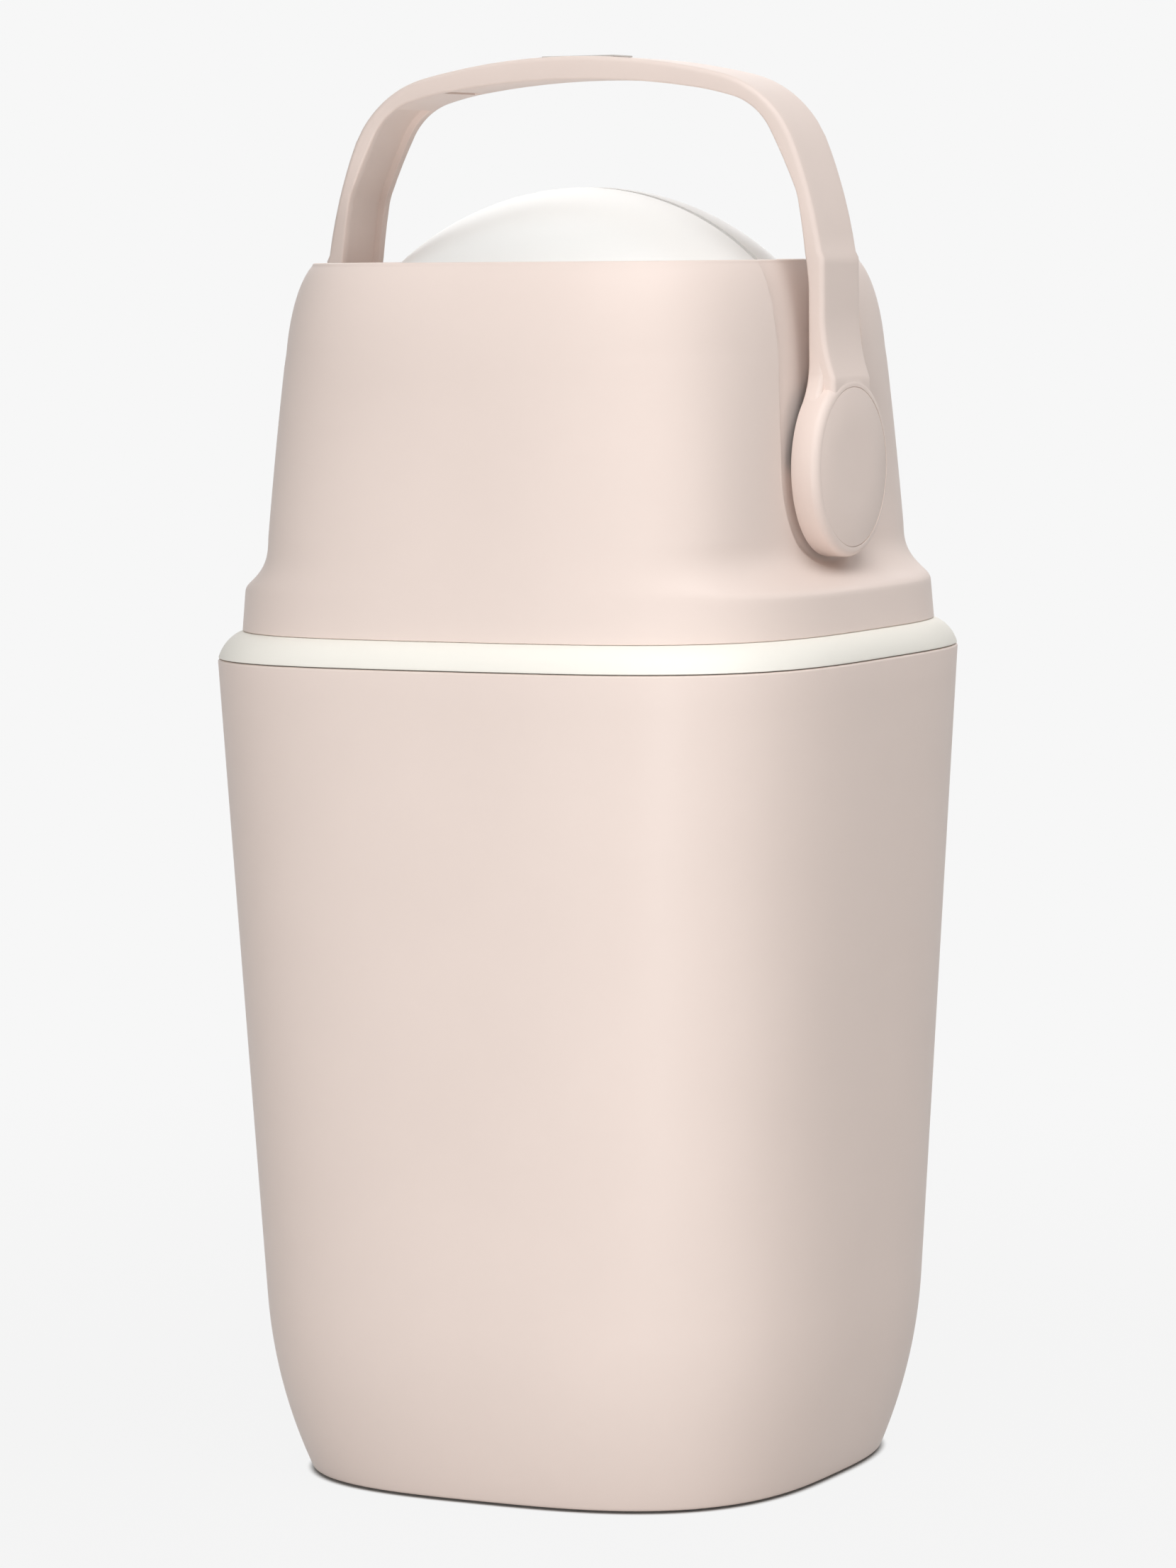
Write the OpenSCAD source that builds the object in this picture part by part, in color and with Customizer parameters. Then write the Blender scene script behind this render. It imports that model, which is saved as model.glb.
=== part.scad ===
/* [Overall] */
// Height of the axis that the drum and the handle turn about, above the collar
axis_up = 70.3; // [69:0.1:72]
// Segments around each lofted shell
facets = 96; // [72:12:120]

/* [Bucket] */
// Half width of the square bucket at its rim
rim_half = 145; // [143:0.5:147]
// Height of the bucket's rim
rim_z = 362; // [360:0.5:363]
// Half width that the rolled-in foot takes off the straight taper
foot_in = 13.2; // [8:0.2:15]
// Height over which the walls curve in to the foot
foot_h = 80; // [60:1:95]
// Thickness of the bucket's wall
bucket_wall = 3; // [2.4:0.1:3.2]
// Height of the soft pads under the bucket
pad_h = 1; // [0.8:0.1:2]

/* [Collar] */
// Height of the collar above the bucket's rim
collar_h = 12; // [11:0.5:13]
// Depth of the skirt that plugs into the bucket
skirt_h = 24; // [16:1:30]
// Gap between the skirt and the bucket's wall
skirt_gap = 0.4; // [0.35:0.05:0.8]

/* [Head] */
// How far the head's lower flange stands in from the bucket's rim
flange_step = 8.4; // [8:0.2:9]
// Distance from the drum's flat end to the head's recessed side
side_out = 17; // [16.8:0.1:18]
// Height of the head's upper rim above the axis
head_up = 89.7; // [88:0.1:91]
// Thickness of the head's front and back walls
head_wall = 3; // [2.6:0.1:3.2]
// Gap between the drum's dome and the round opening it stands in
mouth_gap = 0.7; // [0.7:0.1:2]

/* [Drum] */
// How much less the radius of the drum's ball is than the rim's half width
drum_in = 22.9; // [22.6:0.1:24]
// Depth of the flats that cut off the ball's sides
flat_in = 25.1; // [24:0.1:27]
// Thickness of the drum's shell
drum_wall = 2.5; // [2:0.1:3]
// How much less the inner radius of the nappy tube is than the ball's
tube_in = 42.1; // [40:0.1:46]
// Radius of the shafts' journals
journal_r = 13; // [12.8:0.1:14]

/* [Piston] */
// Length of the piston's cylindrical edge
piston_edge = 40; // [30:1:50]
// Gap between the piston and the tube
piston_gap = 0.4; // [0.3:0.05:0.8]

/* [Handle] */
// Height of the handle's crown above the axis
crown_up = 179; // [176:0.5:182]
// Half width of the handle's arms, front to back
arm_half = 19.6; // [17:0.2:21]
// Radius of the round hubs
hub_r = 39; // [37:0.5:42]
// Thickness of the hubs
hub_t = 12.6; // [12:0.1:14]
// Gap between the hubs and the head's sides
hub_gap = 1; // [0.8:0.1:1.6]

/* [Hidden] */
$fn = 64;

// Colours
blush = [0.90, 0.84, 0.81];
warm_white = [0.95, 0.94, 0.92];
white = [0.97, 0.97, 0.96];
rubber = [0.30, 0.30, 0.31];
steel = [0.72, 0.73, 0.75];
grey = [0.62, 0.62, 0.62];

// Heights up the bin and widths out from its middle
collar_z = rim_z + collar_h;
axis_z = collar_z + axis_up;
head_z = axis_z + head_up;
crown_z = axis_z + crown_up;
flange_half = rim_half - flange_step;
drum_r = rim_half - drum_in;
drum_flat = drum_r - flat_in;
tube_r = drum_r - tube_in;
side_half = drum_flat + side_out;
hub_in_x = side_half + hub_gap;
hub_x = hub_in_x + hub_t;
// Half length of the blocks and cylinders that cut right through
reach = rim_half + 5;

// Bucket
taper = 0.043;
foot_power = 2.1;
base_n = 2.97;
rim_n = 3.62;
flange_n = 3.44;
floor_t = 3;
pad_r = 9;
pad_in = 32.2;
pad_at = rim_half - taper * rim_z - foot_in - pad_in;
rim_round = 1.2;

// Collar
lip_gap = 1.2;
lip_z = rim_z + lip_gap;
skirt_t = 2.4;
web_t = 2.6;
bag_in = 25.6;
bag_half = flange_half - bag_in;
bag_drop = 4.5;
gasket_gap = 0.3;

// Rear hinge of the head
hinge_r = 4;
hinge_y = rim_half - hinge_r;
hinge_z = collar_z + 7;
pin_r = 1.8;
pin_fit = 0.05;
knuckle_half = 22;
lug_gap = 0.4;
lug_w = 12;

// Head
flange_top = collar_z + 18.5;
ledge_low = flange_top + 0.5;
ledge_h = 22;
ledge_top = ledge_low + ledge_h;
ledge_power = 3;
ledge_soft = 0.09;
corner_top = flange_top + 23;
corner_end = head_z - 39;
shoulder_h = 49;
shoulder_z = head_z - 47;
head_taper = 0.075;
side_taper = 0.014;
front_n = 3.2;
side_n = 5.9;
shoulder_n = 3.9;
shoulder_x = 13;
shoulder_y = 17;
head_gap = 0.3;
side_wall = 6.6;
deck_drop = 5;
deck_t = 2.5;
pocket_gap = 3.5;
pocket_half = hub_r + pocket_gap;
pocket_depth = 4.5;
pocket_x = side_half - pocket_depth;

// Housing round the drum
housing_gap = 1.6;
housing_t = 2;
cheek_gap = 3.4;
cheek_wall = 1.4;
cheek_in = drum_flat + cheek_gap;
bush_t = 4;
bush_r = journal_r + bush_t;
bush_fit = 0.05;
bush_end = pocket_x - 0.5;
cheek_boss_t = 5;
cheek_boss_r = bush_r + 8;
seal_gap = 0.3;
seal_h = 2.3;
seal_tip_h = 0.7;
seal_lip_t = 2.3;
skirt_up = 3.6;
seal_flange = 2;
shelf_t = 2;
shelf_gap = 0.6;
boss_in = 11;
boss_out = 4.7;
boss_x = drum_flat - boss_in;
boss_y = sqrt(pow(drum_r + housing_gap + housing_t + boss_out, 2) - pow(boss_x, 2));
boss_r = 6;
boss_h = 9;
screw_r = 2;
screw_head_r = 3.8;
screw_head_h = 2.4;

// Drum
split_gap = 0.1;
tube_t = 2.4;
tube_fit = 0.1;
lip_in = 1.6;
lip_t = 2;
tube_end_in = 0.3;
shaft_flange_r = 26;
shaft_flange_t = 3;
drive_half = 9;
drive_fit = 0.06;
drive_in = 5.5;
drive_end = hub_in_x + drive_in;
drum_boss_in = 13;
drum_boss_down = 64.1;
drum_boss_x = drum_flat - drum_boss_in;
drum_boss_z = drum_r - drum_boss_down;
drum_boss_l = 14;
flange_screw_at = 19.5;
flange_screw_l = 9;

// Piston
stop_gap = 0.5;
mouth_y = sqrt(pow(drum_r, 2) - pow(tube_r + tube_t, 2));
piston_y = mouth_y - tube_end_in - lip_t - stop_gap - piston_edge / 2;
piston_r = tube_r - piston_gap;
crown_r = tube_r - lip_in - piston_gap;
piston_wall = 2.5;
dome_in = 0.6;
weight_in = 40;
weight_r = tube_r - weight_in;
weight_l = 16;
seal_w = 4;
seal_depth = 1.6;
bolt_r = 3;
bolt_half = 28;

// Handle
handle_step = 3;
// Outer outline from the crown to the hub: arcs of [radius, heading at the end]
arm_t = 7.3;
arm_x = hub_in_x + arm_t;
crown_turn = 13.3;
outer_arcs = [[51, 68.5], [220, 81], [120, 90]];
arch_r = (arm_x - arcs_across(outer_arcs, crown_turn)) / sin(crown_turn);
crown_arcs = concat([[arch_r, crown_turn]], outer_arcs);
// Inner outline from the grip to the neck over the hub
grip_t = 10;
under_z = crown_z - grip_t;
neck_in = 1.6;
grip_turn = 8.6;
inner_arcs = [[150, 16], [30, 62], [260, 68], [30, 80], [330, 84]];
grip_r = (hub_in_x - neck_in - arcs_across(inner_arcs, grip_turn)) / sin(grip_turn);
under_arcs = concat([[grip_r, grip_turn]], inner_arcs);
fillet_r = 26;
neck_up = 76;
groove_depth = 3.2;
groove_half = 14.6;
groove_foot = axis_z + 41;
groove_start = 30;
liner_half = 60;
liner_fit = 0.1;
hub_edge_r = 3.4;
flare_from = axis_z + 68;
flare_foot = axis_z + hub_r - 0.8;
flare_low = axis_z + sqrt(pow(hub_r - hub_edge_r, 2) - pow(arm_half, 2)) - 1;
flare_in = 0.3;
flare_power = 2.2;
cap_t = 2.2;
cap_inset = 1;
cap_fit = 0.08;
hub_screw_r = 2.5;
hub_head_r = 4.6;
hub_head_h = 2.4;
hub_screw_l = 18;
inlay_x = 18;
inlay_y = 9;
inlay_t = 0.8;
inlay_proud = 0.4;

// ---- Shared functions and shapes ----

function mix(a, b, t) = a + (b - a) * t;
function clamp01(t) = max(0, min(1, t));
function smooth(t) = let (u = clamp01(t)) u * u * (3 - 2 * u);

// Distance out to a plan outline; n is its power, or a list of its powers across and along
function out_to(u, v, n) = is_list(n)
    ? settled(u, v, n[0], n[1], 1 / max(u, v), 9)
    : pow(pow(u, n) + pow(v, n), -1 / n);
function settled(u, v, n, m, r, k) = k == 0
    ? r
    : let (p = pow(r * u, n), q = pow(r * v, m))
        settled(u, v, n, m, r * (1 - (p + q - 1) / (n * p + m * q)), k - 1);

// One ring of points at height z on a superellipse of half sizes a and b
function ring(a, b, n, z) = [
    for (i = [0:facets - 1])
        let (c = cos(i * 360 / facets), s = sin(i * 360 / facets), r = out_to(abs(c) / a, abs(s) / b, n))
            [r * c, r * s, z]];

function band(k, m) = [
    for (i = [0:facets - 1])
        let (j = (i + 1) % facets)
            each [[k * facets + i, m * facets + i, k * facets + j],
                [m * facets + i, m * facets + j, k * facets + j]]];

// Solid through a list of [a, b, n, z] rings, capped at both ends
module capped_loft(rings) {
    last = len(rings) - 1;
    polyhedron(
        points = [for (q = rings) each ring(q[0], q[1], q[2], q[3])],
        faces = concat([[for (i = [0:facets - 1]) i]],
            [for (k = [0:last - 1]) each band(k, k + 1)],
            [[for (i = [facets - 1:-1:0]) last * facets + i]]));
}

// Ring-shaped solid through a closed list of [a, b, n, z] rings
module closed_loft(rings) {
    count = len(rings);
    polyhedron(
        points = [for (q = rings) each ring(q[0], q[1], q[2], q[3])],
        faces = [for (k = [0:count - 1]) each band(k, (k + 1) % count)]);
}

module on_x(x, flip = false) {
    translate([x, 0, axis_z]) rotate([0, flip ? -90 : 90, 0]) children();
}

module on_y(x, y, z) {
    translate([x, y, z]) rotate([-90, 0, 0]) children();
}

module both_sides() {
    children();
    mirror([1, 0, 0]) children();
}

// ---- Bucket ----

function body_half(z) = rim_half - taper * (rim_z - z)
    - foot_in * pow(clamp01((foot_h - z) / foot_h), foot_power);
function body_n(z) = z < rim_z
    ? mix(base_n, rim_n, z / rim_z)
    : mix(rim_n, flange_n, clamp01((z - rim_z) / (collar_z - rim_z)));
function body_ring(inset, z) = let (half = body_half(min(z, rim_z)) - inset) [half, half, body_n(z), z];

module bucket() {
    foot_z = [for (t = [0.08, 0.13, 0.19, 0.26, 0.34, 0.44, 0.55, 0.68, 0.83]) foot_h * t];
    wall_z = [for (t = [0.1, 0.3, 0.5, 0.75]) mix(foot_h, rim_z, t)];
    outer_z = concat([pad_h + 1], foot_z, wall_z, [rim_z - rim_round]);
    inner_z = concat([rim_z - 0.5], turned(wall_z), turned([for (z = foot_z) z + floor_t]));
    color(blush)
        capped_loft(concat(
            [body_ring(1, pad_h)],
            [for (z = outer_z) body_ring(0, z)],
            [body_ring(0.4, rim_z - 0.35), body_ring(rim_round, rim_z),
                body_ring(bucket_wall - 0.5, rim_z)],
            [for (z = inner_z) body_ring(bucket_wall, z)],
            [body_ring(bucket_wall + 3, pad_h + floor_t)]));
}

module feet() {
    color(rubber)
        for (x = [-pad_at, pad_at], y = [-pad_at, pad_at])
            translate([x, y, 0])
                cylinder(r = pad_r, h = pad_h);
}

// ---- Collar that holds the bag ----

module collar_loft() {
    steps = 6;
    crown_in = rim_half - flange_half + 0.4;
    round_z = lip_z + 1;
    skirt_z = rim_z - skirt_h;
    skirt_in = bucket_wall + skirt_gap;
    closed_loft(concat(
        [[rim_half - 0.7, rim_half - 0.7, rim_n, lip_z],
            [rim_half - 0.3, rim_half - 0.3, rim_n, lip_z + 0.4]],
        [for (i = [0:steps])
            let (a = i * 90 / steps,
                half = rim_half - 0.3 - crown_in * (1 - cos(a)),
                z = round_z + (collar_z - round_z) * sin(a))
                [half, half, body_n(z), z]],
        [[flange_half - 14, flange_half - 14, flange_n, collar_z],
            [bag_half, bag_half, flange_n, collar_z - bag_drop],
            [bag_half, bag_half, flange_n, collar_z - bag_drop - web_t],
            [flange_half - 13, flange_half - 13, flange_n, collar_z - web_t]],
        [body_ring(skirt_in + skirt_t, collar_z - web_t - 2),
            body_ring(skirt_in + skirt_t, rim_z),
            body_ring(skirt_in + skirt_t, skirt_z),
            body_ring(skirt_in, skirt_z),
            body_ring(skirt_in, rim_z),
            body_ring(skirt_in, lip_z)]));
}

module hinge_barrel(x0, x1, r) {
    translate([x0, hinge_y, hinge_z]) rotate([0, 90, 0])
        cylinder(r = r, h = x1 - x0);
}

module hinge_lug() {
    x0 = knuckle_half + lug_gap;
    hinge_barrel(x0, x0 + lug_w, hinge_r);
    translate([x0, hinge_y - 3, collar_z - 4])
        cube([lug_w, hinge_r + 3, hinge_z - collar_z + 4]);
}

module bag_ring() {
    color(warm_white)
        difference() {
            union() {
                collar_loft();
                both_sides() hinge_lug();
            }
            hinge_barrel(-2 * knuckle_half, 2 * knuckle_half, pin_r + pin_fit);
        }
}

module ring_gasket() {
    in0 = bucket_wall;
    out0 = 2;
    color(rubber)
        closed_loft([
            body_ring(in0, lip_z), body_ring(in0, rim_z + gasket_gap),
            body_ring(out0, rim_z + gasket_gap), body_ring(out0, lip_z)]);
}

module hinge_pin() {
    end = knuckle_half + lug_gap + lug_w;
    color(steel) {
        hinge_barrel(-end, end, pin_r);
        hinge_barrel(end, end + 1.2, pin_r + 1.2);
    }
}

// ---- Head ----

function shoulder(z) = z < shoulder_z ? 0 : 1 - sqrt(1 - pow((z - shoulder_z) / shoulder_h, 2));
// A ramp whose start is rounded over a distance e to each side
function eased(t, e) = t < -e ? 0 : t < e ? pow(t + e, 2) / (4 * e) : t;
function ledge(z) = 1 - pow(1 - min(1, eased((z - ledge_low) / ledge_h, ledge_soft)), ledge_power);
function head_side(z) = mix(flange_half - head_taper * (z - collar_z),
        side_half - side_taper * (z - ledge_top), ledge(z))
    - shoulder_x * shoulder(z);
function head_front(z) = flange_half - head_taper * (z - collar_z) - shoulder_y * shoulder(z);
// Powers of the head's plan: across its front, which runs on smoothly from the flange, and along its sides
function head_n(z) = [mix(flange_n, front_n, ledge(z)), mix(flange_n, side_n, ledge(z))
    - (side_n - shoulder_n) * clamp01((z - corner_top) / (corner_end - corner_top))];
function head_out(z) = [head_side(z), head_front(z), head_n(z), z];
function head_in(z) = [
    min(head_side(z), head_side(z + head_wall)) - mix(head_wall, side_wall, ledge(z + head_wall)),
    head_front(z) - head_wall, head_n(z + head_wall), z];

module head_loft() {
    outer_z = concat([collar_z + head_gap, flange_top - 8],
        [for (d = [-1.5, 0, 1, 2, 3.5, 5, 7, 9.5, 12.5, 16, 19.5, 22.5, 45]) flange_top + d],
        [for (d = [55, 43, 33, 24, 17, 11, 6.5, 3.2, 0.9]) head_z - d]);
    inner_z = concat([for (d = [12, 16, 20, 26, 33, 50]) head_z - d],
        [for (d = [45, 22.5, 18, 14, 10.5, 7, 4, 1.5, -2, -8]) flange_top + d - head_wall],
        [collar_z + head_gap]);
    rim = head_out(head_z - 0.3);
    deck_z = head_z - deck_drop;
    closed_loft(concat(
        [for (z = outer_z) head_out(z)],
        [[rim[0] - 0.8, rim[1] - 0.8, rim[2], head_z],
            [rim[0] - 4, rim[1] - 4, rim[2], head_z],
            [rim[0] - 6, rim[1] - 6, rim[2], head_z - 1],
            [mouth_r, mouth_r, 2, deck_z],
            [mouth_r, mouth_r, 2, deck_z - deck_t],
            [seat_r + seal_flange + 0.5, seat_r + seal_flange + 0.5, 2, deck_z - deck_t]],
        [for (z = inner_z) head_in(z)]));
}

// Shallow vertical channel that the upright arm stands in front of
module arm_pocket() {
    far = flange_half;
    top = head_z + 5;
    rim_x = head_side(head_z) - pocket_depth;
    rotate([90, 0, 0])
        linear_extrude(height = 2 * pocket_half, center = true)
            polygon([[pocket_x, axis_z], [far, axis_z], [far, top], [rim_x, top],
                [rim_x, head_z], [head_side(head_z - 15) - pocket_depth, head_z - 15],
                [pocket_x, shoulder_z]]);
    on_x(pocket_x)
        cylinder(r = pocket_half, h = far - pocket_x);
}

module head_shell() {
    color(blush)
        difference() {
            union() {
                head_loft();
                hinge_barrel(-knuckle_half, knuckle_half, hinge_r);
                translate([-knuckle_half, head_front(hinge_z) - 2, hinge_z - hinge_r])
                    cube([2 * knuckle_half, hinge_y - head_front(hinge_z) + 2, 2 * hinge_r - 1]);
            }
            hinge_barrel(-2 * knuckle_half, 2 * knuckle_half, pin_r + pin_fit);
            both_sides() arm_pocket();
            on_x(-reach) cylinder(r = bush_r + bush_fit, h = 2 * reach);
        }
}

// ---- Housing that the ball turns in ----

housing_in = drum_r + housing_gap;
housing_out = housing_in + housing_t;
seal_at = head_z - deck_drop - deck_t - axis_z;
shelf_z = seal_at - seal_h;
shelf_r = sqrt(pow(drum_r, 2) - pow(shelf_z - shelf_t, 2)) + shelf_gap;
seat_r = sqrt(pow(housing_out, 2) - pow(shelf_z, 2));
mouth_r = sqrt(pow(drum_r, 2) - pow(seal_at, 2)) + mouth_gap;
seal_tip_r = sqrt(pow(drum_r + seal_gap + 0.1, 2) - pow(seal_at - seal_tip_h, 2));

module cut_ball(r, half) {
    translate([0, 0, axis_z])
        intersection() {
            sphere(r = r, $fn = 128);
            cube([2 * half, 3 * r, 3 * r], center = true);
        }
}

// The upper half; the lower half is its mirror image about the axis
module housing_half() {
    difference() {
        union() {
            intersection() {
                union() {
                    cut_ball(housing_out, cheek_in + cheek_wall);
                    both_sides() on_x(cheek_in) cylinder(r = cheek_boss_r, h = cheek_boss_t);
                }
                translate([-reach, -reach, axis_z]) cube([2 * reach, 2 * reach, shelf_z]);
            }
            for (x = [-boss_x, boss_x], y = [-boss_y, boss_y])
                translate([x, y, axis_z])
                    cylinder(r = boss_r, h = boss_h);
        }
        difference() {
            cut_ball(housing_in, cheek_in);
            translate([-reach, -reach, axis_z + shelf_z - shelf_t]) cube([2 * reach, 2 * reach, reach]);
        }
        translate([0, 0, axis_z + shelf_z - 3]) cylinder(r = shelf_r, h = 10, $fn = 96);
        on_x(-reach) cylinder(r = bush_r + bush_fit, h = 2 * reach);
        for (x = [-boss_x, boss_x], y = [-boss_y, boss_y])
            translate([x, y, axis_z - 1])
                cylinder(r = screw_r + pin_fit, h = boss_h + 2);
    }
}

module about_axis() {
    translate([0, 0, 2 * axis_z]) mirror([0, 0, 1]) children();
}

module housing_upper() {
    color(white) housing_half();
}

module housing_lower() {
    skirt = seal_at + seal_gap - shelf_z + skirt_up;
    color(white) {
        about_axis() housing_half();
        translate([0, 0, axis_z - seal_at - seal_gap])
            rotate_extrude($fn = 96)
                translate([seat_r + seal_gap / 3, 0]) square([seal_lip_t, skirt]);
    }
}

module housing_screws() {
    color(steel)
        for (x = [-boss_x, boss_x], y = [-boss_y, boss_y])
            translate([x, y, axis_z]) {
                translate([0, 0, -boss_h + 1]) cylinder(r = screw_r, h = 2 * boss_h - 1);
                translate([0, 0, boss_h]) cylinder(r = screw_head_r, h = screw_head_h);
            }
}

module lip_seal(outer_r) {
    rotate_extrude($fn = 96)
        polygon([[seal_tip_r, axis_z + seal_at - seal_tip_h], [seal_tip_r, axis_z + seal_at],
            [outer_r, axis_z + seal_at], [outer_r, axis_z + shelf_z], [seat_r - 3, axis_z + shelf_z]]);
}

module upper_seal() {
    color(rubber) lip_seal(seat_r + seal_flange);
}

module lower_seal() {
    color(rubber) about_axis() lip_seal(seat_r);
}

module bush() {
    color(grey)
        on_x(cheek_in)
            difference() {
                cylinder(r = bush_r, h = bush_end - cheek_in);
                translate([0, 0, -1]) cylinder(r = journal_r + bush_fit, h = 20);
            }
}

module right_bush() {
    bush();
}

module left_bush() {
    mirror([1, 0, 0]) bush();
}

// ---- Drum ----

module flange_screw_places() {
    for (a = [45:90:315])
        on_x(0) rotate([0, 0, a]) translate([flange_screw_at, 0, 0]) children();
}

module drum_bosses() {
    for (x = [-1, 1], z = [-1, 1])
        translate([0, 0, axis_z + z * drum_boss_z]) {
            translate([x * drum_boss_x, 0, 0]) rotate([90, 0, 0])
                cylinder(r = boss_r, h = 2 * drum_boss_l, center = true);
            translate([x * (drum_boss_x + drum_flat) / 2, 0, 0])
                cube([drum_flat - drum_boss_x, 2 * drum_boss_l, 3], center = true);
        }
    both_sides()
        flange_screw_places()
            translate([0, 0, drum_flat - flange_screw_l])
                cylinder(r = 5, h = flange_screw_l - 1);
}

module drum_screw_places() {
    for (x = [-drum_boss_x, drum_boss_x], z = [-drum_boss_z, drum_boss_z])
        on_y(x, 0, axis_z + z) children();
}

module drum_half() {
    intersection() {
        difference() {
            union() {
                difference() {
                    cut_ball(drum_r, drum_flat);
                    cut_ball(drum_r - drum_wall, drum_flat - drum_wall);
                }
                drum_bosses();
            }
            on_y(0, -reach, axis_z) cylinder(r = tube_r + tube_t + tube_fit, h = 2 * reach, $fn = 96);
            drum_screw_places()
                translate([0, 0, -20]) cylinder(r = screw_r + pin_fit, h = 40);
            both_sides()
                flange_screw_places()
                    translate([0, 0, drum_flat - flange_screw_l + 1.5])
                        cylinder(r = screw_r + pin_fit, h = 20);
        }
        translate([-reach, -2 * reach - split_gap / 2, 0]) cube([2 * reach, 2 * reach, 5 * reach]);
    }
}

module drum_shell_front() {
    color(white) drum_half();
}

module drum_shell_rear() {
    color(white) mirror([0, 1, 0]) drum_half();
}

module drum_screws() {
    color(steel)
        drum_screw_places() {
            translate([0, 0, -drum_boss_l + 2]) cylinder(r = screw_r, h = 2 * drum_boss_l - 2);
            translate([0, 0, drum_boss_l]) cylinder(r = screw_head_r, h = screw_head_h);
        }
}

module piston_tube() {
    end = mouth_y - tube_end_in;
    half = [[tube_r + tube_t, end], [tube_r - lip_in, end],
        [tube_r - lip_in, end - lip_t], [tube_r, end - lip_t]];
    color(white)
        on_y(0, 0, axis_z)
            rotate_extrude($fn = 96)
                polygon(concat(half, [for (i = [len(half) - 1:-1:0]) [half[i][0], -half[i][1]]]));
}

module shaft() {
    difference() {
        on_x(drum_flat) {
            cylinder(r = shaft_flange_r, h = shaft_flange_t);
            cylinder(r = journal_r, h = hub_in_x + 1.3 - drum_flat);
            translate([-drive_half, -drive_half, 0])
                cube([2 * drive_half, 2 * drive_half, drive_end - drum_flat]);
        }
        on_x(drum_flat + 4) cylinder(r = hub_screw_r + pin_fit, h = 40);
        flange_screw_places()
            translate([0, 0, drum_flat - 1]) {
                cylinder(r = screw_r + pin_fit, h = 10);
                translate([0, 0, 1 + shaft_flange_t - screw_head_h - 0.1])
                    cylinder(r = screw_head_r + pin_fit, h = 5);
            }
    }
}

module right_shaft() {
    color(steel) shaft();
}

module left_shaft() {
    color(steel) mirror([1, 0, 0]) shaft();
}

module shaft_screws() {
    top = drum_flat + shaft_flange_t;
    color(steel)
        both_sides()
            flange_screw_places() {
                translate([0, 0, top - screw_head_h]) cylinder(r = screw_head_r, h = screw_head_h - 0.1);
                translate([0, 0, top - flange_screw_l]) cylinder(r = screw_r, h = flange_screw_l - 1);
            }
}

// ---- Piston, shown at the front end of its tube ----

module piston_hollow(r, neck_r, ball_r, end) {
    on_y(0, -piston_y - piston_edge / 2 + end, axis_z)
        cylinder(r = r, h = piston_edge / 2 - end, $fn = 96);
    intersection() {
        translate([0, 0, axis_z]) sphere(r = ball_r, $fn = 128);
        on_y(0, -drum_r - 5, axis_z)
            cylinder(r = neck_r, h = drum_r + 5 - piston_y - piston_edge / 2 + end + 1, $fn = 96);
    }
}

module piston_half() {
    post_l = drum_r - dome_in - piston_wall / 2 - piston_y;
    difference() {
        union() {
            difference() {
                piston_hollow(piston_r, crown_r, drum_r - dome_in, 0);
                piston_hollow(piston_r - piston_wall, crown_r - piston_wall, drum_r - dome_in - piston_wall,
                    piston_wall);
            }
            on_y(0, -piston_y - post_l, axis_z) cylinder(r = 9, h = post_l - weight_l / 2);
        }
        on_y(0, -piston_y - 30, axis_z) cylinder(r = bolt_r + pin_fit, h = 40);
        on_y(0, -piston_y - piston_edge / 2 + 5, axis_z)
            rotate_extrude($fn = 96)
                translate([piston_r - seal_depth, 0]) square([10, seal_w]);
    }
}

module mirror_piston() {
    translate([0, -2 * piston_y, 0]) mirror([0, 1, 0]) children();
}

module piston_front() {
    color(warm_white) piston_half();
}

module piston_rear() {
    color(warm_white) mirror_piston() piston_half();
}

module piston_weight() {
    color(steel)
        on_y(0, -piston_y - weight_l / 2, axis_z)
            difference() {
                cylinder(r = weight_r, h = weight_l);
                translate([0, 0, -1]) cylinder(r = bolt_r + pin_fit, h = weight_l + 2);
            }
}

module piston_seal() {
    on_y(0, -piston_y - piston_edge / 2 + 5, axis_z)
        rotate_extrude($fn = 96)
            translate([piston_r - seal_depth, 0.1])
                square([tube_r - 0.3 - piston_r + seal_depth, seal_w - 0.2]);
}

module piston_seals() {
    color(rubber) {
        piston_seal();
        mirror_piston() piston_seal();
    }
}

module piston_bolt() {
    color(steel)
        on_y(0, -piston_y - bolt_half, axis_z) cylinder(r = bolt_r, h = 2 * bolt_half);
}

// ---- Handle ----

// How far tangent arcs that start at heading h run across
function arcs_across(arcs, h, k = 0) = k == len(arcs)
    ? 0
    : arcs[k][0] * (sin(arcs[k][1]) - sin(h)) + arcs_across(arcs, arcs[k][1], k + 1);
// Points [x, z, heading] along tangent arcs; each arc is [radius, end heading]
function arc_run(x, z, h, arcs, k = 0) = k == len(arcs)
    ? [[x, z, h]]
    : let (r = arcs[k][0], h1 = arcs[k][1], m = ceil((h1 - h) / handle_step))
        concat([for (i = [0:m - 1]) let (a = mix(h, h1, i / m))
                [x + r * (sin(a) - sin(h)), z - r * (cos(h) - cos(a)), a]],
            arc_run(x + r * (sin(h1) - sin(h)), z - r * (cos(h) - cos(h1)), h1, arcs, k + 1));
function moved_out(run, d) = [for (p = run) [p[0] + d * sin(p[2]), p[1] + d * cos(p[2])]];
function turned(pts) = [for (i = [len(pts) - 1:-1:0]) pts[i]];
function mirrored(pts) = [for (p = pts) [-p[0], p[1]]];
function flat(run) = [for (p = run) [p[0], p[1]]];
function without_first(pts) = [for (i = [1:len(pts) - 1]) pts[i]];

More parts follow.
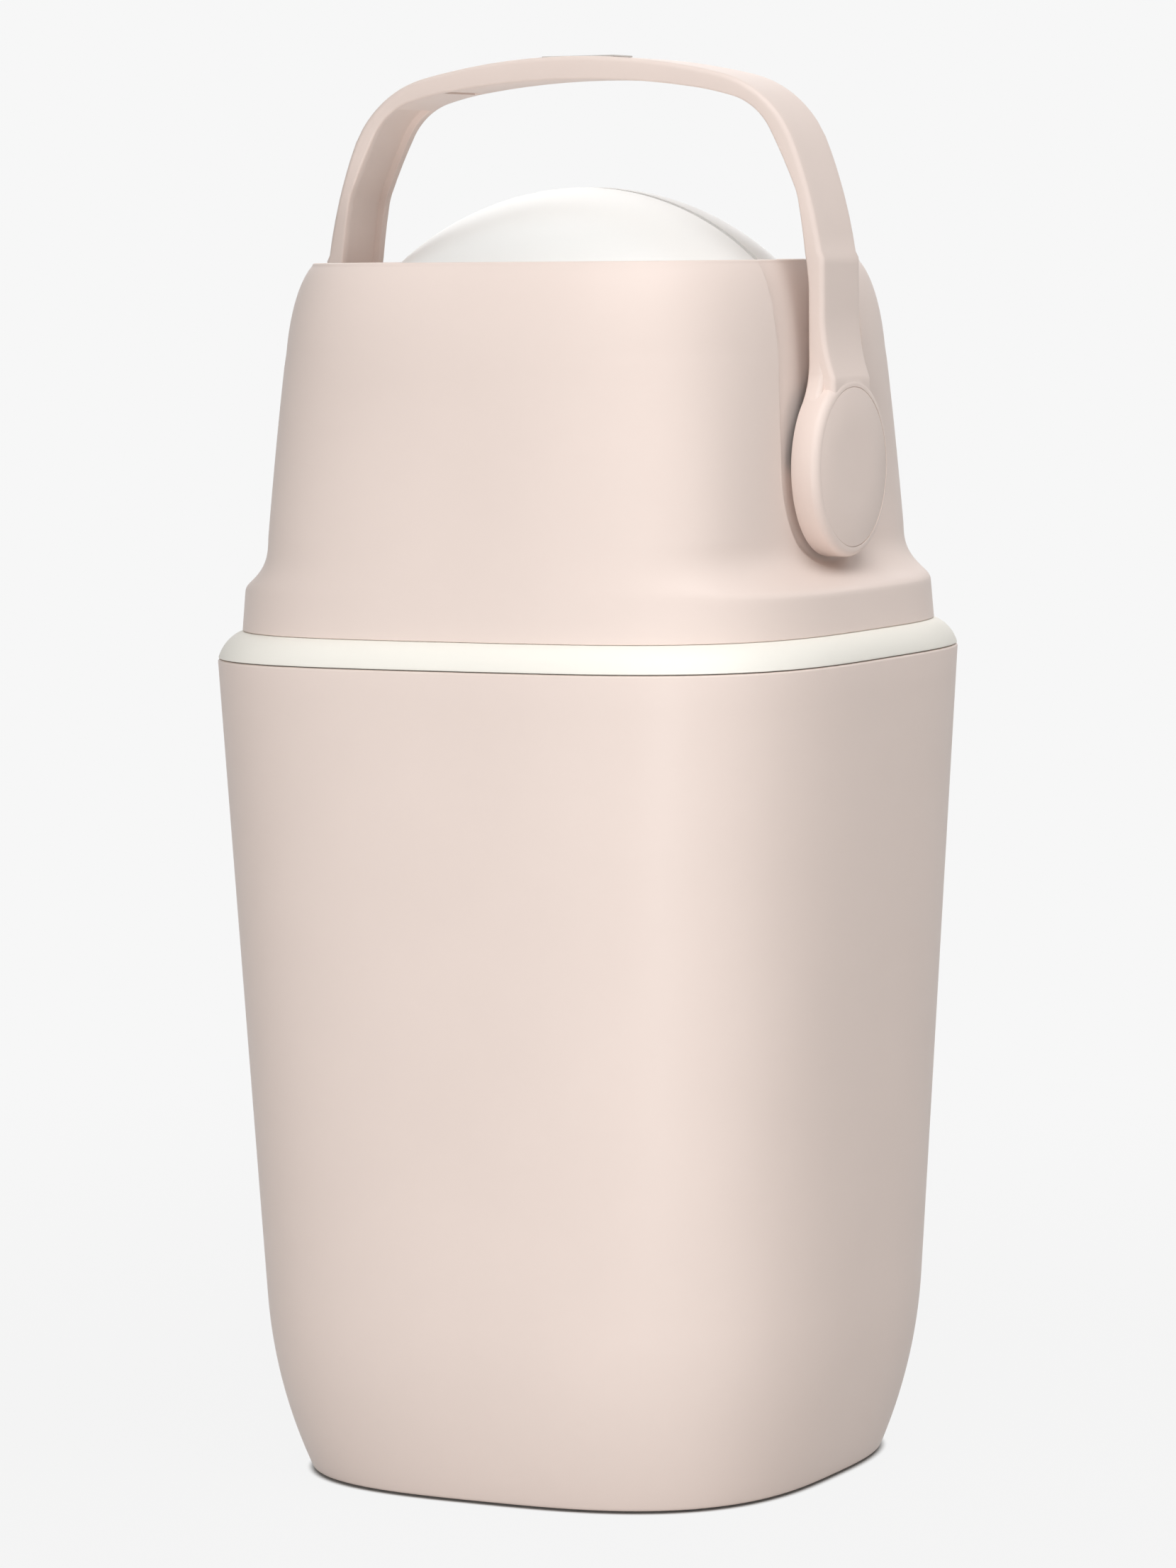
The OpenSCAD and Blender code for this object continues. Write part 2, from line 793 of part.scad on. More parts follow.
over = arc_run(0, crown_z, 0, crown_arcs);
under = arc_run(0, under_z, 0, under_arcs);
hub_foot = axis_z - hub_r - 2;
neck_z = axis_z + neck_up;

module across_y(half) {
    rotate([90, 0, 0])
        linear_extrude(height = 2 * half, center = true) children();
}

module arch_outline() {
    foot = [[arm_x, hub_foot], [hub_in_x, hub_foot], [hub_in_x, neck_z]];
    right = concat(flat(over), foot, turned(flat(under)));
    left = mirrored(turned(right));
    polygon(concat(right, without_first([for (i = [0:len(left) - 2]) left[i]])));
}

// Side outline of one arm: a bar that flares into the round hub
module arm_outline() {
    fillet_y = arm_half + fillet_r;
    fillet_z = axis_z + sqrt(pow(hub_r + fillet_r, 2) - pow(fillet_y, 2));
    join = hub_r / (hub_r + fillet_r);
    translate([0, axis_z]) circle(r = hub_r, $fn = 96);
    translate([-arm_half, axis_z]) square([2 * arm_half, crown_z + 5 - axis_z]);
    difference() {
        polygon([[-fillet_y, fillet_z], [-fillet_y * join, mix(axis_z, fillet_z, join)], [0, axis_z],
            [fillet_y * join, mix(axis_z, fillet_z, join)], [fillet_y, fillet_z]]);
        for (y = [-fillet_y, fillet_y])
            translate([y, fillet_z]) circle(r = fillet_r, $fn = 96);
    }
}

// The arm's outer face spreads out to the face of the hub
module neck_flare() {
    steps = 10;
    across_y(arm_half)
        polygon(concat([[arm_x - 1, flare_low], [arm_x - 1, flare_from]],
            [for (i = [0:steps]) [mix(arm_x, hub_x - flare_in, pow(i / steps, flare_power)),
                mix(flare_from, flare_foot, i / steps)]],
            [[hub_x - flare_in, flare_low]]));
}

module hub_disc() {
    on_x(0)
        rotate_extrude($fn = 96)
            union() {
                translate([0, hub_in_x]) square([hub_r, hub_x - hub_edge_r - hub_in_x]);
                translate([0, hub_in_x]) square([hub_r - hub_edge_r, hub_x - hub_in_x]);
                intersection() {
                    translate([hub_r - hub_edge_r, hub_x - hub_edge_r]) circle(r = hub_edge_r);
                    translate([hub_r - hub_edge_r, hub_x - hub_edge_r]) square([hub_edge_r, hub_edge_r]);
                }
            }
}

cap_r = hub_r - hub_edge_r - cap_inset;
head_seat_x = hub_x - cap_t - 0.1 - hub_head_h;

module hub_cuts() {
    drive = drive_half + drive_fit;
    on_x(hub_in_x - 5) {
        translate([-drive, -drive, 0]) cube([2 * drive, 2 * drive, drive_end + 5.05 - hub_in_x]);
        cylinder(r = hub_screw_r + 0.1, h = 30);
    }
    on_x(hub_in_x - 1) cylinder(r = journal_r + 0.1, h = 2.4);
    on_x(head_seat_x) cylinder(r = hub_head_r + 0.3, h = 20);
    on_x(hub_x - cap_t - 0.05) cylinder(r = cap_r + cap_fit, h = 20);
}

// Open channel up the inside of the right arm
module arm_groove() {
    run = [for (p = under) if (p[2] >= groove_start) p];
    floor_x = hub_in_x + groove_depth;
    across_y(groove_half)
        polygon(concat(flat(run), [[hub_in_x, neck_z], [hub_in_x - 5, groove_foot], [floor_x, groove_foot],
            [floor_x, neck_z]], turned(moved_out(run, groove_depth))));
}

module liner_outline() {
    run = [for (p = under) if (p[0] <= liner_half) p];
    half = concat(turned(mirrored(without_first(run))), flat(run));
    top = moved_out(run, groove_depth);
    polygon(concat(half, turned(concat(turned(mirrored(without_first(top))), top))));
}

module handle_arch() {
    color(blush)
        difference() {
            union() {
                intersection() {
                    across_y(reach) arch_outline();
                    rotate([90, 0, 90])
                        linear_extrude(height = 2 * reach, center = true) arm_outline();
                }
                both_sides() {
                    hub_disc();
                    neck_flare();
                }
            }
            both_sides() {
                hub_cuts();
                arm_groove();
            }
            across_y(groove_half) liner_outline();
            translate([-inlay_x, -inlay_y, crown_z - inlay_t + inlay_proud])
                cube([2 * inlay_x, 2 * inlay_y, 5]);
        }
}

module grip_liner() {
    color(blush)
        across_y(groove_half - liner_fit) liner_outline();
}

module handle_inlay() {
    color(grey)
        translate([-inlay_x + 0.1, -inlay_y + 0.1, crown_z - inlay_t + inlay_proud])
            cube([2 * inlay_x - 0.2, 2 * inlay_y - 0.2, inlay_t]);
}

module hub_cap() {
    color(blush)
        on_x(hub_x - cap_t) cylinder(r = cap_r, h = cap_t, $fn = 96);
}

module right_hub_cap() {
    hub_cap();
}

module left_hub_cap() {
    mirror([1, 0, 0]) hub_cap();
}

module hub_screws() {
    color(steel)
        both_sides()
            on_x(head_seat_x) {
                cylinder(r = hub_head_r, h = hub_head_h);
                translate([0, 0, -hub_screw_l]) cylinder(r = hub_screw_r, h = hub_screw_l);
            }
}

bucket();
feet();
bag_ring();
ring_gasket();
hinge_pin();
head_shell();
housing_upper();
housing_lower();
housing_screws();
upper_seal();
lower_seal();
left_bush();
right_bush();
drum_shell_front();
drum_shell_rear();
drum_screws();
piston_tube();
left_shaft();
right_shaft();
shaft_screws();
piston_front();
piston_rear();
piston_weight();
piston_seals();
piston_bolt();
handle_arch();
grip_liner();
left_hub_cap();
right_hub_cap();
hub_screws();
handle_inlay();
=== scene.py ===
import math

import bmesh
import bpy
import numpy as np
from mathutils import Matrix, Vector


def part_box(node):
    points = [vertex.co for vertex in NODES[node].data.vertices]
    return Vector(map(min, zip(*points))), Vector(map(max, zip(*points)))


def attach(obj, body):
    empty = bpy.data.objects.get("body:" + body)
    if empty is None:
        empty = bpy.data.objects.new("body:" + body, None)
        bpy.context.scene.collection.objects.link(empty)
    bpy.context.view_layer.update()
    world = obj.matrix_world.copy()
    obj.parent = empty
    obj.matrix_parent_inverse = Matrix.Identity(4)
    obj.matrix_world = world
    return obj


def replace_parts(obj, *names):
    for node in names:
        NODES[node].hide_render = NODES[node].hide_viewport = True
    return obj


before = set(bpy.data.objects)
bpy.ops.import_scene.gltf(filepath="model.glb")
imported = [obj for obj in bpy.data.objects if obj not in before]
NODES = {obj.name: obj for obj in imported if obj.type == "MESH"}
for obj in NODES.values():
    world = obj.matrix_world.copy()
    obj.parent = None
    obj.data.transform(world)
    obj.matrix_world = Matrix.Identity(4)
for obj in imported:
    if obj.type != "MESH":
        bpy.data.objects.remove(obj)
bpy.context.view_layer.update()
MM = 0.001
NEAR_AXIS = 0.01


# ---- Sizes in millimetres, read from the frame or the same as in the solids ----

def box_mm(node):
    """The lowest and highest corner of a CAD node."""
    low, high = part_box(node)
    return [v / MM for v in low], [v / MM for v in high]


bucket_low, bucket_high = box_mm("bucket")
ring_low, _ = box_mm("bag_ring")
head_low, head_high = box_mm("head_shell")
drum_low, drum_high = box_mm("drum_shell_rear")
_, arch_high = box_mm("handle_arch")
cap_low, cap_high = box_mm("right_hub_cap")
inlay_low, inlay_high = box_mm("handle_inlay")
_, liner_high = box_mm("grip_liner")
_, pad_high = box_mm("feet")
_, bush_high = box_mm("right_bush")

# Bucket and its pads. A name that ends in _n is the power of a plan outline.
rim_half = bucket_high[0]
rim_z = bucket_high[2]
pad_h = bucket_low[2]
pad_r = 9.0
pad_edge = 0.4
bucket_wall = 3.0
floor_t = 3.0
base_edge_r = 1.0
rim_edge_r = 1.2
taper = 0.043
foot_in = 13.2
foot_h = 80.0
foot_power = 2.1
foot_rows_h = 79.0
foot_end = 81.0
wall_from = 92.0
base_n = 2.97
rim_n = 3.62
flange_n = 3.44

# Collar: its drip edge over the bucket's rim, its crown, the web round the bag and the skirt.
head_gap = 0.3
seam_gap = 0.12
collar_z = head_low[2] - head_gap
head_z = head_high[2]
flange_half = head_high[0]
lip_z = rim_z + 1.2
drip_z = rim_z + 0.4
drip_in = 1.6
crown_flat = 0.3
crown_lap = 0.4
skirt_z = ring_low[2]
skirt_in = bucket_wall + 0.4
skirt_t = 2.4
web_t = 2.6
bag_half = 111.0
bag_drop = 4.5
collar_out = 0.3
collar_edge = 0.6
skirt_edge = 0.6

# Head: flange, ledge, shoulder, sunk deck and the channels that the arms swing in.
side_half = 114.0
side_share = 0.75
flange_top = collar_z + 18.5
ledge_low = flange_top + 0.5
ledge_h = 22.0
ledge_top = ledge_low + ledge_h
ledge_power = 3
ledge_soft = 0.09
corner_top = flange_top + 23
corner_end = head_z - 39
shoulder_z = head_z - 47
shoulder_h = 49.0
shoulder_x = 13.0
shoulder_y = 17.0
head_taper = 0.075
side_taper = 0.014
front_n = 3.2
side_n = 5.9
shoulder_n = 3.9
head_wall = 3.0
side_wall = 6.6
mouth_r = 91.0
deck_drop = 5.0
deck_t = 2.5
deck_step = 0.15
deck_in_r = 99.0
brim_r = 1.2
low_edge = 0.3
bush_fit = 0.05
bush_r = bush_high[1]
bush_hole = (90.0, 130.0)
pocket_half = 42.5
pocket_depth = 4.5
pocket_soft = 4.0
pocket_shallow = 0.45
pocket_rise = 70.0

# Rear hinge: the pin, the head's knuckle and the collar's two lugs.
hinge_y = 141.0
hinge_z = collar_z + 7
hinge_r = 4.0
pin_r = 1.85
knuckle_half = 22.0
hinge_edge = 0.5
hinge_block_r = 0.8
knuckle_sunk = 2
lug_gap = 0.4
lug_w = 12.0
lug_deep = 2.6
lug_sunk = 4

# Drum.
drum_r = (drum_high[2] - drum_low[2]) / 2
axis_z = (drum_high[2] + drum_low[2]) / 2
pocket_low_z = axis_z - 10
drum_flat = drum_high[0]
drum_wall = 2.5
bore_r = 82.5
split_gap = 0.1
roll_h = 9.0
front_roll = 2.2
rear_roll = 0.35

# Handle. The arcs are (radius, heading at their end in degrees), from the crown outwards.
crown_z = arch_high[2]
hub_x = arch_high[0]
hub_in_x = 115.0
arm_half = 19.6
arm_edge_r = 2.4
arm_lip_r = 1.0
fillet_r = 26.0
arm_step = 1.5
groove_depth = 3.2
groove_half = 14.6
groove_start = 30.0
groove_foot = axis_z + 41
groove_end = 0.02
groove_rim_r = 0.7
groove_floor_r = 0.8
liner_fit = 0.1
liner_edge = 0.4
cap_r = (cap_high[2] - cap_low[2]) / 2
cap_t = cap_high[0] - cap_low[0]
hub_band = 4.4
hub_r = cap_r + hub_band
cap_gap = 0.12
cap_edge = 0.5
crown_arcs = [(315, 13.3), (51, 68.5), (220, 81), (120, 90)]
under_z = crown_z - 10
under_arcs = [(400, 8.6), (150, 16), (30, 62), (260, 68), (30, 80), (330, 84)]
neck_z = axis_z + 76
neck_steps = 6
neck_power = 1.6
in_hub = 0.9
hub_edge_r = 3.8
flare_from = axis_z + 68
flare_foot = axis_z + hub_r - 0.8
flare_low = axis_z + 28
flare_in = 0.3
flare_power = 2.2
flare_fit = 0.04
inlay_edge = 0.25


# ---- Small maths ----

def mix(a, b, t):
    return a + (b - a) * t


def clamp01(t):
    return np.clip(t, 0.0, 1.0)


def smooth(t):
    """A step from 0 to 1 with level ends."""
    u = clamp01(t)
    return u * u * (3 - 2 * u)


# ---- Meshes ----

def make_object(name, points, faces, material):
    """A smooth-shaded object from points in millimetres."""
    mesh = bpy.data.meshes.new(name)
    mesh.from_pydata([tuple(float(c) * MM for c in p) for p in points], [], faces)
    mesh.validate()
    mesh.update()
    obj = bpy.data.objects.new(name, mesh)
    bpy.context.scene.collection.objects.link(obj)
    mesh.materials.append(material)
    finish_mesh(obj)
    return obj


def finish_mesh(obj, sharp=35.0):
    """Shades smoothly over edges of less than that many degrees."""
    obj.data.shade_smooth()
    obj.data.set_sharp_from_angle(angle=math.radians(sharp))


def grid_faces(rows, cols, close_rows):
    """Quads between rows of points; each row is a closed loop."""
    faces = []
    for i in range(rows if close_rows else rows - 1):
        for j in range(cols):
            k = (j + 1) % cols
            above = (i + 1) % rows * cols
            faces.append((i * cols + j, i * cols + k, above + k, above + j))
    return faces


def end_faces(rows, cols):
    """The two caps of a run of closed loops."""
    return [tuple(range(cols)), tuple(reversed(range((rows - 1) * cols, rows * cols)))]


def plan_directions(count):
    """Unit directions spread evenly along a rounded square, with enough of them at its corners."""
    dense = np.linspace(0, 2 * math.pi, 7201)
    x, y = superellipse(1, 1, rim_n, np.cos(dense), np.sin(dense))
    run = np.concatenate([[0], np.cumsum(np.hypot(np.diff(x), np.diff(y)))])
    angle = np.interp(np.linspace(0, run[-1], count, endpoint=False), run, dense)
    return np.cos(angle), np.sin(angle)


def superellipse(a, b, n, c, s):
    """Points of a plan outline along directions; n is its power, or its powers across and along."""
    u, v = np.abs(c) / a, np.abs(s) / b
    n, m = n if isinstance(n, tuple) else (n, n)
    r = 1 / np.maximum(u, v)
    for _ in range(12):
        p, q = (r * u) ** n, (r * v) ** m
        r = r * (1 - (p + q - 1) / (n * p + m * q))
    return r * c, r * s


def lofted(name, rings, material, count=288, capped=False):
    """A shell through [a, b, n, z] rings: a closed loop of them, or capped at both ends."""
    c, s = plan_directions(count)
    points = []
    for a, b, n, z in rings:
        x, y = superellipse(a, b, n, c, s)
        points.extend(np.column_stack([x, y, np.full(count, z)]))
    faces = grid_faces(len(rings), count, not capped)
    if capped:
        faces += end_faces(len(rings), count)
    return outward(make_object(name, points, faces, material))


def revolved(name, profile, material, axis, centre, count):
    """A solid of revolution about x or z: profile is a closed loop of (radius, along the axis)."""
    turn = np.linspace(0, 2 * math.pi, count, endpoint=False)
    points = []
    for r, h in profile:
        for t in turn:
            local = {"x": (h, r * math.cos(t), r * math.sin(t)),
                     "z": (r * math.cos(t), r * math.sin(t), h)}[axis]
            points.append([centre[k] + local[k] for k in range(3)])
    return outward(make_object(name, points, grid_faces(len(profile), count, True), material))


def arc_points(cx, cy, r, start, end, steps):
    turns = [math.radians(mix(start, end, i / steps)) for i in range(steps + 1)]
    return [(cx + r * math.cos(a), cy + r * math.sin(a)) for a in turns]


def outward(obj):
    """Turns the faces of a closed mesh so that its volume is positive."""
    bm = bmesh.new()
    bm.from_mesh(obj.data)
    bmesh.ops.recalc_face_normals(bm, faces=bm.faces)
    bm.to_mesh(obj.data)
    bm.free()
    return obj


def joined(obj, other, operation="UNION"):
    """Boolean of two closed meshes, applied, with the second one removed."""
    step = obj.modifiers.new("join", "BOOLEAN")
    step.operation = operation
    step.solver = "EXACT"
    step.object = other
    bpy.context.view_layer.update()
    graph = bpy.context.evaluated_depsgraph_get()
    mesh = bpy.data.meshes.new_from_object(obj.evaluated_get(graph))
    obj.modifiers.remove(step)
    old = obj.data
    obj.data = mesh
    bpy.data.meshes.remove(old)
    bpy.data.objects.remove(other)
    return obj


# ---- Materials ----

cloud_scale, cloud_spread = 14.0, 0.012
gloss_scale, gloss_spread = 60.0, 0.05
grain_scale, grain_depth, grain_strength = 2600.0, 0.00002, 0.25


def new_material(name):
    material = bpy.data.materials.new(name)
    material.use_nodes = True
    nodes = material.node_tree.nodes
    nodes.clear()
    out = nodes.new("ShaderNodeOutputMaterial")
    shader = nodes.new("ShaderNodeBsdfPrincipled")
    material.node_tree.links.new(shader.outputs["BSDF"], out.inputs["Surface"])
    return material, nodes, material.node_tree.links, shader


def noise(nodes, links, coordinates, scale, detail):
    node = nodes.new("ShaderNodeTexNoise")
    node.inputs["Scale"].default_value = scale
    node.inputs["Detail"].default_value = detail
    links.new(coordinates, node.inputs["Vector"])
    return node.outputs["Fac"]


def ramp(nodes, links, factor, low, high, start=0.3, end=0.7):
    node = nodes.new("ShaderNodeValToRGB")
    node.color_ramp.elements[0].position = start
    node.color_ramp.elements[0].color = (*low, 1)
    node.color_ramp.elements[1].position = end
    node.color_ramp.elements[1].color = (*high, 1)
    links.new(factor, node.inputs["Fac"])
    return node.outputs["Color"]


def linear(rgb):
    """The shader's linear values of an 8-bit colour."""
    shares = [v / 255 for v in rgb]
    return tuple(v / 12.92 if v <= 0.04045 else ((v + 0.055) / 1.055) ** 2.4 for v in shares)


def scaled(rgb, k):
    return tuple(min(1, v * k) for v in rgb)


def span(nodes, links, factor, low, high):
    node = nodes.new("ShaderNodeMapRange")
    node.inputs["To Min"].default_value = low
    node.inputs["To Max"].default_value = high
    links.new(factor, node.inputs["Value"])
    return node.outputs["Result"]


def moulded_plastic(name, rgb, rough=0.42, specular=0.4):
    """Satin moulded plastic: faint clouding, uneven gloss and a fine spark-eroded grain."""
    material, nodes, links, shader = new_material(name)
    place = nodes.new("ShaderNodeTexCoord").outputs["Object"]
    base = linear(rgb)
    cloud = noise(nodes, links, place, cloud_scale, 3.0)
    tint = ramp(nodes, links, cloud, scaled(base, 1 - cloud_spread), scaled(base, 1 + cloud_spread))
    links.new(tint, shader.inputs["Base Color"])
    gloss = noise(nodes, links, place, gloss_scale, 4.0)
    links.new(span(nodes, links, gloss, rough - gloss_spread, rough + gloss_spread),
              shader.inputs["Roughness"])
    shader.inputs["Specular IOR Level"].default_value = specular
    bump = nodes.new("ShaderNodeBump")
    bump.inputs["Strength"].default_value = grain_strength
    bump.inputs["Distance"].default_value = grain_depth
    links.new(noise(nodes, links, place, grain_scale, 1.0), bump.inputs["Height"])
    links.new(bump.outputs["Normal"], shader.inputs["Normal"])
    return material


def turned_steel(name):
    """Bare steel with fine lines, as left by a lathe."""
    material, nodes, links, shader = new_material(name)
    stretch = nodes.new("ShaderNodeMapping")
    stretch.inputs["Scale"].default_value = (900, 60, 60)
    links.new(nodes.new("ShaderNodeTexCoord").outputs["Object"], stretch.inputs["Vector"])
    lines = noise(nodes, links, stretch.outputs["Vector"], 1.0, 3.0)
    tint = ramp(nodes, links, lines, (0.46, 0.47, 0.49), (0.60, 0.61, 0.63))
    links.new(tint, shader.inputs["Base Color"])
    links.new(span(nodes, links, lines, 0.24, 0.42), shader.inputs["Roughness"])
    shader.inputs["Metallic"].default_value = 1.0
    return material


def soft_rubber(name, rgb):
    """Matt rubber with a little dust."""
    material, nodes, links, shader = new_material(name)
    base = linear(rgb)
    dust = noise(nodes, links, nodes.new("ShaderNodeTexCoord").outputs["Object"], 120.0, 5.0)
    tint = ramp(nodes, links, dust, scaled(base, 0.85), scaled(base, 1.2))
    links.new(tint, shader.inputs["Base Color"])
    links.new(span(nodes, links, dust, 0.6, 0.85), shader.inputs["Roughness"])
    return material


blush = moulded_plastic("blush_moulded_plastic", (238, 222, 214), specular=0.2)
cream = moulded_plastic("cream_moulded_plastic", (249, 246, 238), rough=0.5, specular=0.25)
dome_white = moulded_plastic("white_gloss_plastic", (250, 250, 248), rough=0.3)
white = moulded_plastic("white_moulded_plastic", (244, 244, 242), rough=0.4)
grey = moulded_plastic("grey_moulded_plastic", (212, 211, 208), rough=0.38)
steel = turned_steel("turned_steel")
rubber = soft_rubber("soft_rubber", (92, 90, 90))


# ---- Camera: the photograph's view, in degrees and millimetres, fitted to the outline ----

view_azimuth = 26.70
view_pitch = 5.22
view_roll = -0.49
view_distance = 2598.0
view_aim_x = -2.4
view_aim_z = 302.2
focal_px = 8240.0
photo_h_px = 2212.0
sensor_mm = 36
clip_m = (0.05, 40)


def add_camera():
    az = math.radians(view_azimuth)
    pitch = math.radians(view_pitch)
    roll = math.radians(view_roll)
    ahead = Vector((-math.sin(az) * math.cos(pitch), math.cos(az) * math.cos(pitch),
                    -math.sin(pitch)))
    level = Vector((math.cos(az), math.sin(az), 0))
    upright = level.cross(ahead)
    place = level * view_aim_x + Vector((0, 0, view_aim_z)) - ahead * view_distance
    right = level * math.cos(roll) + upright * math.sin(roll)
    up = upright * math.cos(roll) - level * math.sin(roll)
    camera = bpy.data.objects.new("camera", bpy.data.cameras.new("camera"))
    bpy.context.scene.collection.objects.link(camera)
    turn = Matrix((right, up, -ahead)).transposed().to_4x4()
    camera.matrix_world = Matrix.Translation(place * MM) @ turn
    camera.data.sensor_width = sensor_mm
    camera.data.lens = focal_px * sensor_mm / photo_h_px
    camera.data.clip_start, camera.data.clip_end = clip_m
    bpy.context.scene.camera = camera


# ---- Bucket ----

def body_half(z):
    """Half width of the bucket's outside, which tapers and draws in towards the base."""
    z = min(z, rim_z)
    foot = foot_in * max(0.0, (foot_h - z) / foot_h) ** foot_power
    return rim_half - taper * (rim_z - z) - foot


def body_n(z):
    """Power of the plan outline, which goes over into the head's at the collar."""
    if z < rim_z:
        return mix(base_n, rim_n, z / rim_z)
    return mix(rim_n, flange_n, min(1, (z - rim_z) / (collar_z - rim_z)))


def body_ring(inset, z):
    half = body_half(z) - inset
    return [half, half, body_n(z), z]


def build_bucket():
    rings = [body_ring(base_edge_r, pad_h)]
    for a in map(math.radians, (20, 40, 60, 80)):
        rings.append(body_ring(base_edge_r - base_edge_r * math.sin(a),
                               pad_h + base_edge_r * (1 - math.cos(a))))
    foot = np.linspace(0.02, 1, 34) ** 1.3
    rings += [body_ring(0, pad_h + base_edge_r + t * foot_rows_h) for t in foot[:-1]]
    wall = np.linspace(wall_from, rim_z - rim_edge_r, 22)
    rings += [body_ring(0, z) for z in (foot_end, *wall)]
    for a in map(math.radians, (18, 36, 54, 72, 90)):
        rings.append(body_ring(rim_edge_r - rim_edge_r * math.cos(a),
                               rim_z - rim_edge_r + rim_edge_r * math.sin(a)))
    # The inside, as steps in from the wall's inner face and heights.
    inside = [(-0.8, rim_z), (-0.25, rim_z - 0.2), (0, rim_z - 0.8)]
    inside += [(0, z) for z in np.linspace(rim_z - 6, 30, 24)]
    inside += [(0.4, 16), (1.6, 8.5), (4, pad_h + floor_t + 1), (8, pad_h + floor_t)]
    rings += [body_ring(bucket_wall + x, z) for x, z in inside]
    bucket = lofted("bucket_body", rings, blush, capped=True)
    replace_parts(bucket, "bucket")
    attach(bucket, "bucket")


def build_feet():
    at = pad_high[0] - pad_r
    profile = [(NEAR_AXIS, 0), (pad_r - pad_edge, 0), (pad_r - 0.1, 0.15), (pad_r, pad_edge),
               (pad_r, pad_h), (NEAR_AXIS, pad_h)]
    for k, (x, y) in enumerate([(-at, -at), (at, -at), (-at, at), (at, at)]):
        pad = revolved(f"foot_pad_{k + 1}", profile, rubber, "z", (x, y, 0), 48)
        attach(pad, "bucket")
        if k == 0:
            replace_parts(pad, "feet")


# ---- Collar ----

def build_collar():
    steps = 24
    round_z = drip_z + collar_edge
    crown_in = rim_half - flange_half + crown_lap
    rings = [body_ring(drip_in, lip_z), body_ring(drip_in, drip_z + 0.1),
             body_ring(drip_in - 0.1, drip_z)]
    rings += [[rim_half - x, rim_half - x, rim_n, drip_z + rise]
              for x, rise in ((collar_edge, 0), (0.36, 0.1), (collar_out, 0.35))]
    for i in range(steps + 1):
        a = math.radians(90 * i / steps)
        half = rim_half - collar_out - crown_in * mix(1 - math.cos(a), i / steps, crown_flat)
        z = round_z + (collar_z - round_z) * mix(math.sin(a), i / steps, crown_flat)
        rings.append([half, half, body_n(z), z])
    # The flat top, the step down round the bag's mouth and the web's underside.
    web = [(flange_half - 13.5, 0), (flange_half - 14.5, 0.2), (bag_half + 0.6, bag_drop),
           (bag_half, bag_drop + 0.5), (bag_half, bag_drop + web_t), (flange_half - 13, web_t)]
    rings += [[half, half, flange_n, collar_z - drop] for half, drop in web]
    # The skirt inside the bucket.
    out = skirt_in + skirt_t
    skirt = [(out, collar_z - web_t - 2)]
    skirt += [(out, z) for z in np.linspace(rim_z, skirt_z + skirt_edge, 4)]
    skirt += [(out - skirt_edge, skirt_z), (skirt_in + skirt_edge, skirt_z)]
    skirt += [(skirt_in, z) for z in np.linspace(skirt_z + skirt_edge, rim_z, 4)]
    rings += [body_ring(x, z) for x, z in (*skirt, (skirt_in, lip_z))]
    collar = lofted("collar", rings, cream, count=320)
    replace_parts(collar, "bag_ring")
    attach(collar, "bag_ring")


def rounded_block(name, low, high, radius, material, segments=4):
    """A block between two corners, with all its edges rounded."""
    bm = bmesh.new()
    bmesh.ops.create_cube(bm, size=1.0)
    for v in bm.verts:
        v.co = Vector([mix(low[k], high[k], v.co[k] + 0.5) * MM for k in range(3)])
    bmesh.ops.bevel(bm, geom=list(bm.edges), offset=radius * MM, segments=segments,
                    profile=0.5, affect="EDGES")
    mesh = bpy.data.meshes.new(name)
    bm.to_mesh(mesh)
    bm.free()
    obj = bpy.data.objects.new(name, mesh)
    bpy.context.scene.collection.objects.link(obj)
    mesh.materials.append(material)
    finish_mesh(obj)
    return obj


def barrel(name, x0, x1, material):
    """A round eye of the hinge with its bore, between two places along the pin."""
    r, e = hinge_r, hinge_edge
    near = [(pin_r, 0.2), (pin_r + 0.2, 0), (r - e, 0), (r - 0.12, 0.15), (r, e)]
    profile = [(d, x0 + h) for d, h in near] + [(d, x1 - h) for d, h in reversed(near)]
    return revolved(name, profile, material, "x", (0, hinge_y, hinge_z), 48)


def drilled(block, x0, x1):
    """The block with the hinge pin's bore cut through it."""
    profile = [(NEAR_AXIS, x0 - 1), (pin_r, x0 - 1), (pin_r, x1 + 1), (NEAR_AXIS, x1 + 1)]
    joined(block, revolved("drill", profile, steel, "x", (0, hinge_y, hinge_z), 32), "DIFFERENCE")
    finish_mesh(block)
    return block


def build_hinge():
    k = knuckle_half
    for side, name in ((-1, "left"), (1, "right")):
        x0, x1 = sorted((side * (k + lug_gap), side * (k + lug_gap + lug_w)))
        lug = rounded_block(f"hinge_lug_{name}", (x0, hinge_y - lug_deep, collar_z - lug_sunk),
                            (x1, hinge_y + hinge_r - 0.4, hinge_z), hinge_block_r, cream)
        joined(lug, barrel("lug_barrel", x0, x1, cream))
        drilled(lug, x0, x1)
        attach(lug, "bag_ring")
    wall_y = head_front(hinge_z) - knuckle_sunk
    knuckle = rounded_block("hinge_knuckle", (-k, wall_y, hinge_z - hinge_r),
                            (k, hinge_y, hinge_z + hinge_r - 1), hinge_block_r, blush)
    joined(knuckle, barrel("knuckle_barrel", -k, k, blush))
    drilled(knuckle, -k, k)
    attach(knuckle, "head")


# ---- Head ----

def shoulder(z):
    """How far the head's top has rounded in, from 0 to 1."""
    if z < shoulder_z:
        return 0.0
    return 1 - math.sqrt(max(0.0, 1 - ((z - shoulder_z) / shoulder_h) ** 2))


